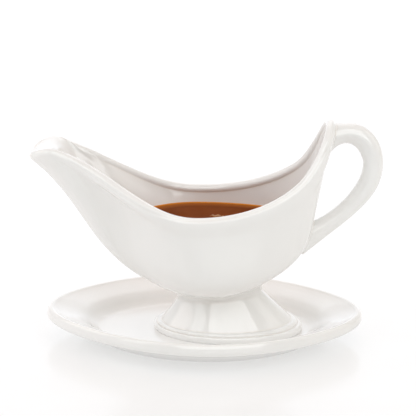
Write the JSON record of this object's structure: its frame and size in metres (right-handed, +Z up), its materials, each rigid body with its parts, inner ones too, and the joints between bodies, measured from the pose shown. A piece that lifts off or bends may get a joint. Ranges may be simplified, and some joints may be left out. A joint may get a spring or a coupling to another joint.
{
  "type": "gravy boat with saucer",
  "caption": "White glazed sauce boat with a high looped handle and long pouring lip on an oval pedestal foot, holding brown gravy and standing loose on an oval saucer.",
  "frame": {"origin": "bottom centre of the whole set's bounding box, on the plane the saucer stands on", "axes": "+X towards the handle, -X towards the pouring lip, +Z up; the boat is symmetric about the plane y = 0"},
  "size_m": [0.2346, 0.16, 0.1521],
  "materials": {
    "saucer_glaze": "clear gloss glaze over white porcelain",
    "boat_glaze": "clear gloss glaze over white porcelain",
    "gravy": "wet brown sauce"
  },
  "bodies": {
    "saucer": {"saucer": "saucer_glaze"},
    "boat": {"bowl": "boat_glaze", "pedestal_foot": "boat_glaze", "handle": "boat_glaze", "gravy": "gravy"}
  },
  "joints": [
    {"name": "boat_lift", "type": "slide", "parent": "saucer", "child": "boat", "axis": [0, 0, 1], "range_m": [0, 0.1]}
  ]
}
